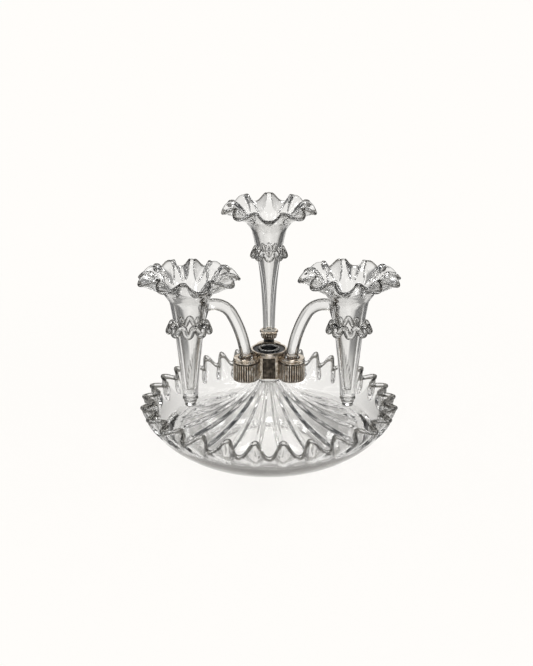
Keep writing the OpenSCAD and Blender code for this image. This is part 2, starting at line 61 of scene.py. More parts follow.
class Slot(Enum):
    """The record's slots for the finishes of dressed pieces."""

    GLASS = "clear_glass"
    SILVER = "silver_plate"
    DARK_PLATE = "dark_plate"
    RUBBER = "grey_rubber"


class Side(Enum):
    """The three cups of the mount, by the direction they point in, in degrees."""

    LEFT = 210.0
    RIGHT = 330.0
    REAR = 90.0


# Shader nodes

class Wire:
    """A node's output. Arithmetic on it adds Math nodes to its tree."""

    def __init__(self, sheet: "Sheet", socket: "bpy.types.NodeSocket | None") -> None:
        """Keeps the tree and the output that the wire starts from."""
        self.sheet = sheet
        self.socket = socket

    def _math(self, operation: str, *values: Any) -> "Wire":
        """Adds one Math node, with numbers or wires in its sockets."""
        return self.sheet.add("Math", {"operation": operation}, dict(enumerate(values)))

    def __add__(self, other: Any) -> "Wire":
        """Sum."""
        return self._math("ADD", self, other)

    def __rsub__(self, other: Any) -> "Wire":
        """Difference from a number."""
        return self._math("SUBTRACT", other, self)

    def __mul__(self, other: Any) -> "Wire":
        """Product."""
        return self._math("MULTIPLY", self, other)

    def peak(self, other: Any) -> "Wire":
        """The larger of two values."""
        return self._math("MAXIMUM", self, other)

    def cosine(self) -> "Wire":
        """Cosine of an angle in radians."""
        return self._math("COSINE", self)

    __radd__ = __add__
    __rmul__ = __mul__


class Sheet:
    """The node tree of one finish or of the world."""

    def __init__(self, tree: bpy.types.NodeTree) -> None:
        """Starts from an empty tree."""
        self.tree = tree
        tree.nodes.clear()

    def add(self, kind: str, settings: dict[str, Any] | None = None,
            sockets: dict[Any, Any] | None = None, out: int | str = 0) -> Wire:
        """Adds a node.

        Args:
            kind: the node's type, after the ShaderNode that all have in common.
            settings: its own settings.
            sockets: numbers, colours or wires by socket name or place.
            out: the output to return.

        Returns:
            That output.
        """
        node = self.tree.nodes.new(f"ShaderNode{kind}")
        for name, value in (settings or {}).items():
            setattr(node, name, value)
        for key, value in (sockets or {}).items():
            socket = node.inputs[key]
            if isinstance(value, Wire):
                self.tree.links.new(value.socket, socket)
            else:
                socket.default_value = (*value, 1) if socket.type == "RGBA" else value
        return Wire(self, node.outputs[out] if node.outputs else None)

    def place(self) -> Wire:
        """The point on the surface, in the piece's own frame."""
        return self.add("TexCoord", out="Object")

    def kept(self, name: str) -> Wire:
        """A value that the piece keeps for each vertex."""
        return self.add("Attribute", {"attribute_name": name}, out="Fac")

    def ray(self, question: str) -> Wire:
        """What the light's path says of the ray."""
        return self.add("LightPath", out=question)

    def noise(self, scale: float, detail: float = 2, stretch: Sequence[float] = (1, 1, 1)) -> Wire:
        """A soft random pattern of so many waves per metre, with a factor for each axis."""
        point = self.add("Mapping", None, {"Vector": self.place(), "Scale": stretch})
        return self.add("TexNoise", None, {"Vector": point, "Scale": scale, "Detail": detail})

    def fade(self, value: Wire, low: float, high: float, start: float = 0, end: float = 1) -> Wire:
        """A smooth step of a value between two levels, mapped to start and end."""
        settings = {"interpolation_type": "SMOOTHSTEP"}
        return self.add("MapRange", settings, {0: value, 1: low, 2: high, 3: start, 4: end})

    def blend(self, share: Wire, first: Any, second: Any) -> Wire:
        """Mixes two colours."""
        return self.add("Mix", {"data_type": "RGBA"}, {0: share, 6: first, 7: second}, out=2)

    def bump(self, height: Wire, deep: float) -> Wire:
        """A bumped normal from a height of that many metres."""
        return self.add("Bump", None, {"Height": height, "Distance": deep, "Strength": 1})

    def principled(self, sockets: dict[str, Any]) -> Wire:
        """A Principled shader with those inputs."""
        return self.add("BsdfPrincipled", None, sockets)

    def mixed(self, share: Wire, first: Wire, second: Wire) -> Wire:
        """Mixes two shaders."""
        return self.add("MixShader", None, {0: share, 1: first, 2: second})


class Finish:
    """A finish that makes its material once and shares it."""

    label: str

    def material(self) -> bpy.types.Material:
        """Makes the material, unless it is there already.

        Returns:
            The material of this finish.
        """
        known = bpy.data.materials.get(self.label)
        if known:
            return known
        made = bpy.data.materials.new(self.label)
        made.use_nodes = True
        sheet = Sheet(made.node_tree)
        sheet.add("OutputMaterial", None, {"Surface": self.shade(sheet)})
        return made

    def shade(self, sheet: Sheet) -> Wire:
        """Builds the finish's nodes in a tree and returns its shader."""
        raise NotImplementedError


@dataclass(frozen=True)
class ClearGlass(Finish):
    """Hand-blown colourless glass, faintly wavy, that lets lamps light what is behind it."""

    label: str = "hand_blown_glass"
    tint: Colour = (0.91, 0.91, 0.905)
    # Painted shade: the near-black colour that the glass is darkened to edgeways, standing in for the dark
    # edges that refraction draws.
    edge: Colour = (0.07, 0.066, 0.058)
    edge_span: Span = (0.06, 0.75)
    index: float = 1.52
    wave_scale: float = 42.0
    wave_depth: float = 0.00022
    smear_scale: float = 90.0
    smear_span: Span = (0.45, 0.75)
    smear_rough: float = 0.03

    def shade(self, sheet: Sheet) -> Wire:
        """Builds glass with painted shade that darkens it towards the edge colour where it is looked through
        edgeways.

        Args:
            sheet: the material's tree.

        Returns:
            The shader.
        """
        facing = sheet.add("LayerWeight", None, {"Blend": 0.5}, out="Facing")
        # Painted shade: the glass darkens towards the edge colour where it is seen edgeways, as far as each
        # piece's edge mark allows.
        painted_edge_shade = sheet.fade(facing, *self.edge_span) * sheet.kept("edge")
        glass = sheet.principled({
            "Base Color": sheet.blend(painted_edge_shade, self.tint, self.edge),
            "Transmission Weight": 1,
            "IOR": self.index,
            "Roughness": sheet.fade(sheet.noise(self.smear_scale, 4), *self.smear_span, 0, self.smear_rough),
            "Normal": sheet.bump(sheet.noise(self.wave_scale), self.wave_depth),
        })
        through = sheet.add("BsdfTransparent", None, {0: self.tint})
        return sheet.mixed(sheet.ray("Is Shadow Ray"), glass, through)


@dataclass(frozen=True)
class WornPlate(Finish):
    """Plated brass with tarnish in its hollows, brighter where hands have rubbed it."""

    label: str = "worn_silver_plate"
    bright: Colour = (0.80, 0.75, 0.68)
    warm: Colour = (0.50, 0.41, 0.31)
    tarnish: Colour = (0.035, 0.029, 0.025)
    cover: float = 0.35
    worn_span: Span = (0.42, 0.95)
    cloud_scale: float = 260.0
    cloud_span: Span = (0.35, 0.7)
    streak_scale: float = 700.0
    scratch_scale: float = 2600.0
    rough_span: Span = (0.1, 1.2)
    rough: Span = (0.52, 0.2)
    pit: float = 0.00008

    def shade(self, sheet: Sheet) -> Wire:
        """Builds plate that is worn on its crests.

        Args:
            sheet: the material's tree.

        Returns:
            The shader.
        """
        cloud = sheet.noise(self.cloud_scale, 6)
        streak = sheet.noise(self.streak_scale, 3, (1, 1, 0.12))
        scratch = sheet.noise(self.scratch_scale, 2, (1, 1, 0.2))
        low, high = (level + self.cover for level in self.worn_span)
        worn = sheet.fade(sheet.kept("relief") + 0.5 * cloud + 0.25 * streak, low, high)
        plate = sheet.blend(sheet.fade(cloud, *self.cloud_span), self.warm, self.bright)
        return sheet.principled({
            "Base Color": sheet.blend(worn, self.tarnish, plate),
            "Metallic": 1,
            "Roughness": sheet.fade(worn + 0.3 * scratch, *self.rough_span, *self.rough),
            "Normal": sheet.bump(cloud + 0.5 * scratch, self.pit),
        })


@dataclass(frozen=True)
class GreyRubber(Finish):
    """An old rubber gasket, dusty on its worn face."""

    label: str = "aged_rubber"
    dark: Colour = (0.022, 0.023, 0.026)
    dust: Colour = (0.05, 0.053, 0.058)
    dust_scale: float = 180.0
    dust_span: Span = (0.6, 1.0)
    grain_scale: float = 900.0
    rough: Span = (0.42, 0.7)
    pit: float = 0.0001

    def shade(self, sheet: Sheet) -> Wire:
        """Builds rubber with dust on its grain.

        Args:
            sheet: the material's tree.

        Returns:
            The shader.
        """
        grain = sheet.noise(self.grain_scale, 5)
        dusty = sheet.fade(sheet.noise(self.dust_scale, 3) + 0.4 * grain, *self.dust_span)
        return sheet.principled({
            "Base Color": sheet.blend(dusty, self.dark, self.dust),
            "Roughness": sheet.fade(dusty, 0, 1, *self.rough),
            "Normal": sheet.bump(grain, self.pit),
        })


@dataclass(frozen=True)
class Grain(Finish):
    """A dull, two-tone, pitted finish, as of cork or plaster."""

    label: str
    dark: Colour
    light: Colour
    scale: float
    pit: float
    tone_span: Span = (0.35, 0.8)
    rough: Span = (0.85, 0.7)

    def shade(self, sheet: Sheet) -> Wire:
        """Builds cells clouded by a softer pattern.

        Args:
            sheet: the material's tree.

        Returns:
            The shader.
        """
        cell = sheet.add("TexVoronoi", None, {"Vector": sheet.place(), "Scale": self.scale})
        cloud = sheet.noise(self.scale * 0.6, 5)
        tone = sheet.fade(cell * 0.7 + cloud * 0.6, *self.tone_span)
        return sheet.principled({
            "Base Color": sheet.blend(tone, self.dark, self.light),
            "Roughness": sheet.fade(tone, 0, 1, *self.rough),
            "Normal": sheet.bump(tone, self.pit),
        })


@dataclass(frozen=True)
class BlackMetal(Finish):
    """A blackened brass stem with rubbed edges."""

    label: str = "blackened_metal"
    black: Colour = (0.012, 0.011, 0.011)
    rubbed: Colour = (0.03, 0.026, 0.022)
    cloud_scale: float = 420.0
    worn_span: Span = (0.55, 0.8)
    metal: Span = (0.2, 0.8)
    rough_span: Span = (0.2, 0.9)
    rough: Span = (0.35, 0.6)
    pit: float = 0.00006

    def shade(self, sheet: Sheet) -> Wire:
        """Builds black metal, barer where it is rubbed.

        Args:
            sheet: the material's tree.

        Returns:
            The shader.
        """
        cloud = sheet.noise(self.cloud_scale, 5)
        worn = sheet.fade(cloud, *self.worn_span)
        return sheet.principled({
            "Base Color": sheet.blend(worn, self.black, self.rubbed),
            "Metallic": sheet.fade(worn, 0, 1, *self.metal),
            "Roughness": sheet.fade(cloud, *self.rough_span, *self.rough),
            "Normal": sheet.bump(cloud, self.pit),
        })


GLASS = ClearGlass()
SILVER = WornPlate()
DARK_PLATE = WornPlate("tarnished_plate", (0.34, 0.29, 0.23), (0.17, 0.14, 0.105), (0.035, 0.03, 0.026), 0.1)
RUBBER = GreyRubber()
CORK = Grain("aged_cork", (0.045, 0.026, 0.014), (0.20, 0.125, 0.07), 900, 0.0003)
PLASTER = Grain("setting_plaster", (0.50, 0.48, 0.44), (0.78, 0.76, 0.71), 600, 0.00015)
BLACK = BlackMetal()


# Curves and waves

def mix(a: float, b: float, t: float) -> float:
    """The value a share of the way from a to b."""
    return a + (b - a) * t


def ramp(value: Array, start: float, end: float) -> Array:
    """A smooth step from 0 at the start to 1 at the end, which may be the lower of the two."""
    held = np.clip((value - start) / (end - start), 0, 1)
    return held * held * (3 - 2 * held)


def rounded(wave: Array) -> Array:
    """A wave between -1 and 1 with fuller crests and hollows."""
    return np.sin(1.3 * wave) / math.sin(1.3)


def pressed(across: Array, along: Array, ease: float) -> Array:
    """The depth of a fold with a rounded end, by shares of its half width and length."""
    return np.clip(1 - across ** 2 - along ** 2, 0, 1) ** ease


def radii(points: Array) -> Array:
    """The distance of each point from the Z axis."""
    return np.hypot(points[:, 0], points[:, 1])


def bearing(points: Array) -> Array:
    """The direction of each point from the Z axis, in radians."""
    return np.arctan2(points[:, 1], points[:, 0])


def swung(points: Array, out: Array, up: Array | float = 0) -> Array:
    """Points moved out from the Z axis and up."""
    factor = (1 + out / np.maximum(radii(points), 1e-9))[:, None]
    return np.hstack([points[:, :2] * factor, (points[:, 2] + up)[:, None]])


def arc(centre: Point, radius: float, start: float, end: float, count: int) -> list[Point]:
    """Points round part of a circle, by angles in degrees."""
    angles = [math.radians(mix(start, end, i / (count - 1))) for i in range(count)]
    return [(centre[0] + radius * math.cos(a), centre[1] + radius * math.sin(a)) for a in angles]


def rows(points: Iterable[Sequence[float]], swing: float = 0) -> list[Row]:
    """Profile rows that all have the same swing."""
    return [(float(p[0]), float(p[1]), swing) for p in points]


@dataclass(frozen=True)
class Curve:
    """A cubic curve in the plane of radius and height, in millimetres."""

    a: Point
    b: Point
    c: Point
    d: Point

    def at(self, t: float) -> Array:
        """The point at a share of the way."""
        a, b, c, d = (np.array(p) for p in (self.a, self.b, self.c, self.d))
        return a * (1 - t) ** 3 + 3 * b * (1 - t) ** 2 * t + 3 * c * (1 - t) * t * t + d * t ** 3

    def left(self, t: float) -> Array:
        """Finds the unit normal on the left of the way.

        Args:
            t: the share of the way.

        Returns:
            The normal, by radius and height.
        """
        a, b, c, d = (np.array(p) for p in (self.a, self.b, self.c, self.d))
        run = (b - a) * (1 - t) ** 2 + 2 * (c - b) * (1 - t) * t + (d - c) * t * t
        return np.array([-run[1], run[0]]) / np.linalg.norm(run)

    def shifted(self, t: float, wall: float) -> Array:
        """The point that far to the left of the curve."""
        return self.at(t) + wall * self.left(t)

    def trail(self, start: float, end: float, count: int) -> list[Point]:
        """Evenly spaced points along a stretch of the curve."""
        return [tuple(self.at(mix(start, end, i / (count - 1)))) for i in range(count)]

    def radius_at(self, height: Array | float) -> Array:
        """The radius at each height, on a curve that only rises."""
        line = np.array(self.trail(0, 1, 80))
        return np.interp(height, line[:, 1], line[:, 0])


# Meshes

def only(obj: Piece) -> None:
    """Makes a piece the only one selected, and the active one.

    Args:
        obj: the piece.
    """
    bpy.ops.object.select_all(action="DESELECT")
    obj.select_set(True)
    bpy.context.view_layer.objects.active = obj


def name_piece(obj: Piece, name: str) -> Piece:
    """Names a piece and its mesh."""
    obj.name = obj.data.name = name
    return obj


def points_of(obj: Piece) -> Array:
    """Reads a piece's vertices.

    Args:
        obj: the piece.

    Returns:
        A row for each vertex, in millimetres.
    """
    flat = np.empty(len(obj.data.vertices) * 3, np.float32)
    obj.data.vertices.foreach_get("co", flat)
    return flat.reshape(-1, 3).astype(float) / MM


def reshape(obj: Piece, rule: Rule) -> None:
    """Moves a piece's vertices.

    Args:
        obj: the piece.
        rule: gives the new places of points in millimetres.
    """
    moved = rule(points_of(obj)) * MM
    obj.data.vertices.foreach_set("co", moved.astype(np.float32).ravel())
    obj.data.update()


def soften_shading(obj: Piece, angle: float) -> Piece:
    """Shades a piece smooth between sharp edges.

    Args:
        obj: the piece.
        angle: edges sharper than this many degrees stay sharp.

    Returns:
        The piece.
    """
    only(obj)
    bpy.ops.object.shade_smooth_by_angle(angle=math.radians(angle))
    return obj


def settle(obj: Piece, angle: float = 40) -> Piece:
    """Merges doubles, turns the faces outwards and shades a piece smooth.

    Args:
        obj: the piece.
        angle: edges sharper than this many degrees stay sharp.

    Returns:
        The piece.
    """
    only(obj)
    bpy.ops.object.mode_set(mode="EDIT")
    bpy.ops.mesh.select_all(action="SELECT")
    bpy.ops.mesh.remove_doubles(threshold=WELD)
    bpy.ops.mesh.normals_make_consistent(inside=False)
    bpy.ops.object.mode_set(mode="OBJECT")
    return soften_shading(obj, angle)


def place(obj: Piece, turn: float, reach: float) -> Piece:
    """Moves a piece out along X, turns it round the middle and puts its place in its mesh.

    Args:
        obj: the piece.
        turn: the direction to turn it to, in degrees.
        reach: how far out it goes.

    Returns:
        The piece.
    """
    only(obj)
    angle = math.radians(turn)
    obj.rotation_euler = (0, 0, angle)
    obj.location = (reach * MM * math.cos(angle), reach * MM * math.sin(angle), 0)
    bpy.ops.object.transform_apply(location=True, rotation=True, scale=True)
    return obj


def fuse(body: Piece, *parts: Piece) -> Piece:
    """Melts parts into a body, so that no wall is left between them.

    Args:
        body: the piece that stays.
        parts: the pieces that go into it.

    Returns:
        The body.
    """
    for part in parts:
        only(body)
        melt = body.modifiers.new("melt", "BOOLEAN")
        melt.operation = "UNION"
        melt.solver = "MANIFOLD"
        melt.object = part
        bpy.ops.object.modifier_apply(modifier=melt.name)
        bpy.data.objects.remove(part)
    return body


def mark(obj: Piece, name: str, values: Array | float) -> None:
    """Keeps a value for each vertex of a piece, for its finish to read."""
    layer = obj.data.attributes.new(name, "FLOAT", "POINT")
    layer.data.foreach_set("value", np.broadcast_to(values, len(obj.data.vertices)).astype(np.float32))


def dress(obj: Piece, body: str, slot: Slot, finish: Finish, *nodes: str) -> None:
    """Gives a piece its finish, and lets it stand for its nodes on a body.

    Args:
        obj: the piece.
        body: the body that it moves with.
        slot: not used.
        finish: the finish.
        nodes: the nodes that it stands for.
    """
    obj.data.materials.clear()
    obj.data.materials.append(finish.material())
    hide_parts(*nodes)
    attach(obj, body)
    LOG.info("%s: %d faces on %s", obj.name, len(obj.data.polygons), body)


def refinish(node: str, finish: Finish) -> None:
    """Gives a node of the frame a better finish as it stands.

    Args:
        node: the node.
        finish: the finish.
    """
    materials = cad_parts[node].data.materials
    materials.clear()
    materials.append(finish.material())
    LOG.info("%s: refinished", node)


@dataclass
class Turned:
    """A profile of radius, height and swing that is spun round the Z axis."""

    name: str
    profile: list[Row]
    steps: int

    def make(self) -> Piece:
        """Traces the profile by extruding one vertex, spins it and closes the seam.

        Returns:
            The turned piece, in object mode.
        """
        bpy.ops.object.select_all(action="DESELECT")
        radius, height, _ = self.profile[0]
        bpy.ops.mesh.primitive_plane_add(size=MM, location=(radius * MM, 0, height * MM))
        obj = name_piece(bpy.context.object, self.name)
        bpy.ops.object.transform_apply(location=True)
        bpy.ops.object.mode_set(mode="EDIT")
        bpy.ops.mesh.merge(type="CENTER")
        for last, new in zip(self.profile, self.profile[1:]):
            step = ((new[0] - last[0]) * MM, 0, (new[1] - last[1]) * MM)
            bpy.ops.mesh.extrude_region_move(TRANSFORM_OT_translate={"value": step})
        bpy.ops.mesh.select_all(action="SELECT")
        bpy.ops.mesh.spin(steps=self.steps, angle=math.tau, center=(0, 0, 0), axis=(0, 0, 1))
        bpy.ops.object.mode_set(mode="OBJECT")
        return settle(obj)

    def swing(self, points: Array) -> Array:
        """Finds the swing of each vertex.

        Args:
            points: the vertices of the turned piece.

        Returns:
            The swing of the nearest row of the profile.
        """
        table = np.array(self.profile)
        far = (radii(points)[:, None] - table[:, 0]) ** 2 + (points[:, 2, None] - table[:, 1]) ** 2
        return table[far.argmin(1), 2]

    def flute(self, count: int, ease: float, deep: float, crest: Span, plain: Span) -> Piece:
        """Makes the piece, cuts upright grooves in its band of full swing and keeps its wear.

        Args:
            count: grooves round the band.
            ease: the power that shapes the ridges between them.
            deep: how deep the grooves are.
            crest: the wear on a ridge, and what a groove takes off it.
            plain: the wear of plain metal, and what full swing takes off it.

        Returns:
            The grooved piece.
        """
        piece = self.make()
        points = points_of(piece)
        swing = self.swing(points)
        band = swing > 0.9
        groove = 1 - np.abs(np.cos(bearing(points) * count / 2)) ** ease
        reshape(piece, lambda found: swung(found, -deep * groove * band))
        mark(piece, "relief", np.where(band, crest[0] - crest[1] * groove, plain[0] - plain[1] * swing))
        return piece


# The bowl

@dataclass
class Bowl:
    """The crimped bowl on its foot, with its trough, ribbed cone and hollow peg.

    The pulls are how far the curves' handles stand from their ends, and what begins with dark
    is how much painted shade darkens its stretch of glass when it is looked through edgeways.
    """

    rim_r: float = 125.0
    height: float = 53.5
    wall: float = 3.2
    bead_r: float = 2.1
    rim_pull: Point = (6.0, 31.5)
    lip_pull: Point = (8.3, 17.5)
    foot_r: float = 56.0
    foot_w: float = 8.0
    foot_pull: Point = (24.0, 4.0)
    apron_wall: float = 4.6
    trough_r: float = 104.0
    trough_z: float = 26.5
    trough_pull: float = 4.0
    cone_wall: float = 5.0
    cone_low: Point = (72.0, 31.8)
    cone_high: Point = (31.5, 48.4)
    crimps: int = 32
    crowd_back: float = 9.0
    crowd_ends: float = 5.0
    crimp_out: float = 2.9
    crimp_in: float = 9.6
    crimp_tilt: float = 5.0
    crimp_reach: float = 18.0
    crimp_grow: float = 0.65
    crimp_ease: float = 0.9
    back_lift: float = 4.0
    back_ease: float = 0.32
    ribs: int = 20
    rib_turn: float = 9.0
    rib_h: float = 2.5
    rib_foot_w: float = 9.0
    rib_top_w: float = 3.4
    rib_power: float = 1.6
    rib_start: Span = (0.1, 0.24)
    rib_narrow: Span = (0.3, 1.0)
    rib_end: Span = (0.9, 1.0)
    seat_z: float = 82.0
    seat_r: float = 12.8
    seat_h: float = 4.4
    peg_r: float = 10.4
    peg_top: float = 110.4
    bore_r: float = 7.6
    soft: float = 0.5
    crease: float = 50.0
    steps: int = 600
    # Painted shade: how much the edge mark darkens each stretch of the bowl's glass.
    dark: float = 0.35
    dark_wall: float = 0.3
    dark_skin: float = 0.55
    dark_bead: float = 8.0
    dark_seat: float = 1.2
    foot_span: Span = (22.0, 16.0)
    skin_span: Span = (40.0, 24.0)
    wall_span: Span = (0.0, 8.0)
    bead_span: Span = (-4.0, -2.5)
    seat_span: Span = (-7.0, -4.0)

    def __post_init__(self) -> None:
        """Draws the wall's and the cone's curves from the sizes."""
        rim, top, inner = self.rim_r, self.height, self.rim_r - self.wall
        self.outside = Curve((self.foot_r, 0), (self.foot_r + self.foot_pull[0], self.foot_pull[1]),
                             (rim - self.rim_pull[0], top - self.rim_pull[1]), (rim, top))
        low = (self.trough_r, self.trough_z)
        self.inside = Curve(low, (self.trough_r + self.trough_pull, self.trough_z),
                            (inner - self.lip_pull[0], top - self.lip_pull[1]), (inner, top))
        self.cone = Curve(low, self.cone_low, self.cone_high, (self.seat_r - 1.2, self.seat_z - self.seat_h))

    def profile(self) -> list[Row]:
        """Draws the section of the bowl, from the foot round to the foot again.

        Returns:
            The closed section.
        """
        ring, seat, edge, soft = self.foot_r - self.foot_w, self.seat_z, self.seat_r, self.soft
        points = [(ring, soft), (ring + 0.6, 0), (self.foot_r - 1, 0)]
        points += self.outside.trail(0.02, 0.5, 8) + self.outside.trail(0.54, 0.94, 20)
        points += arc((self.rim_r - self.wall / 2, self.height - 0.9), self.bead_r, -68, 245, 14)
        points += self.inside.trail(0.93, 0.38, 20) + self.inside.trail(0.3, 0.0, 5)
        points += self.cone.trail(0.02, 1.0, 28)
        points += arc((edge - 1.5, seat - 0.55 * self.seat_h), 1.5, -60, 70, 7)
        points += [(edge - 1.6, seat - 0.1), (self.peg_r + soft, seat), (self.peg_r, seat + soft)]
        points += [(self.peg_r, mix(seat, self.peg_top, i / 5)) for i in range(1, 5)]
        lip = (self.peg_r - self.bore_r) / 2
        points += arc((self.peg_r - lip, self.peg_top - lip), lip, 0, 180, 9)
        under = self.cone.shifted(1, self.cone_wall)[1]
        points += [(self.bore_r, mix(self.peg_top, under, i / 4)) for i in range(1, 4)]
        points += [(self.bore_r, under + soft), (self.bore_r + soft, under)]
        points += [tuple(self.cone.shifted(mix(0.98, 0.15, i / 9), self.cone_wall)) for i in range(10)]
        points += [tuple(self.outside.shifted(mix(0.5, 0.1, i / 5), self.apron_wall)) for i in range(6)]
        points += [(ring, points[-1][1] - 1.5)]
        return rows(points + [points[0]])

    def crimp(self, points: Array) -> Array:
        """Crimps the rim into rounded waves, and the wall under it into folds.

        Args:
            points: the vertices.

        Returns:
            Their new places.
        """
        turn = bearing(points)
        back = ramp(np.sin(turn), 0, 1)
        fold = self.crimps * (turn - math.radians(FRONT)) - self.crowd_back * np.cos(turn)
        fold -= self.crowd_ends / 2 * np.sin(2 * turn)
        off = np.abs(fold / math.pi % 2 - 1)
        on_wall = radii(points) > self.trough_r
        down = np.where(on_wall, self.height - points[:, 2], self.height) / self.crimp_reach
        grow = np.clip(1 - down, 0, None) ** self.crimp_grow
        press = on_wall * pressed(np.sin(math.pi / 2 * off), np.clip(down, 0, None), self.crimp_ease)
        deep = self.crimp_out + self.crimp_in * (1 - self.back_ease * back)
        tilt = self.crimp_tilt * np.sin(turn) * np.abs(np.sin(turn)) * rounded(np.cos(fold))
        return swung(points, self.crimp_out * grow - deep * press, (tilt + self.back_lift * back) * grow)

    def rib(self, points: Array) -> Array:
        """Raises the ribs on the top of the cone.

        Args:
            points: the vertices.

        Returns:
            Their new places.
        """
        ways = np.linspace(1, 0, 240)
        line = np.array([self.cone.at(t) for t in ways])
        normal = -np.array([self.cone.left(t) for t in ways])
        radius = radii(points)
        on_top = np.abs(np.interp(radius, line[:, 0], line[:, 1]) - points[:, 2]) < ON_LINE
        on_top &= (radius > line[0, 0] - 0.1) & (radius < line[-1, 0])
        way = np.interp(radius, line[:, 0], ways)
        space = math.tau / self.ribs
        share = (bearing(points) - math.radians(self.rib_turn)) / space
        off = np.abs((share + 0.5) % 1 - 0.5) * space * radius
        width = mix(self.rib_foot_w, self.rib_top_w, ramp(way, *self.rib_narrow))
        bulge = np.cos(np.clip(2 * off / width, 0, 1) * math.pi / 2) ** self.rib_power
        ends = ramp(way, *self.rib_start) * (1 - 0.5 * ramp(way, *self.rib_end))
        rise = on_top * self.rib_h * bulge * ends
        out, up = (rise * np.interp(radius, line[:, 0], normal[:, axis]) for axis in range(2))
        return swung(points, out, up)

    def shadows(self, points: Array) -> Array:
        """Finds the painted shade on the glass edgeways: most on the rim's bead, then the seat and the wall.

        Args:
            points: the vertices, before they are crimped.

        Returns:
            A factor for each.
        """
        radius, height = radii(points), points[:, 2]
        out = radius - self.trough_r
        wall = np.maximum(ramp(out, *self.wall_span), ramp(height, *self.foot_span))
        bead = (out > 0) * ramp(height - self.height, *self.bead_span)
        seat = (radius < self.seat_r + 1) * ramp(height - self.seat_z, *self.seat_span)
        outside = np.abs(self.outside.radius_at(height) - radius) < ON_LINE
        skin = outside * ramp(height, *self.skin_span)
        low = self.dark + self.dark_wall * wall + self.dark_skin * skin
        return low + self.dark_bead * bead + self.dark_seat * seat

    def build(self) -> None:
        """Turns the bowl, ribs the cone and crimps the rim."""
        bowl = Turned("crimped_bowl", self.profile(), self.steps).make()
        # Painted shade: the edge mark darkens the rim's bead, the seat ring and the walls.
        mark(bowl, "edge", self.shadows(points_of(bowl)))
        reshape(bowl, self.rib)
        reshape(bowl, self.crimp)
        dress(soften_shading(bowl, self.crease), "bowl", Slot.GLASS, GLASS, "bowl")


# The vases

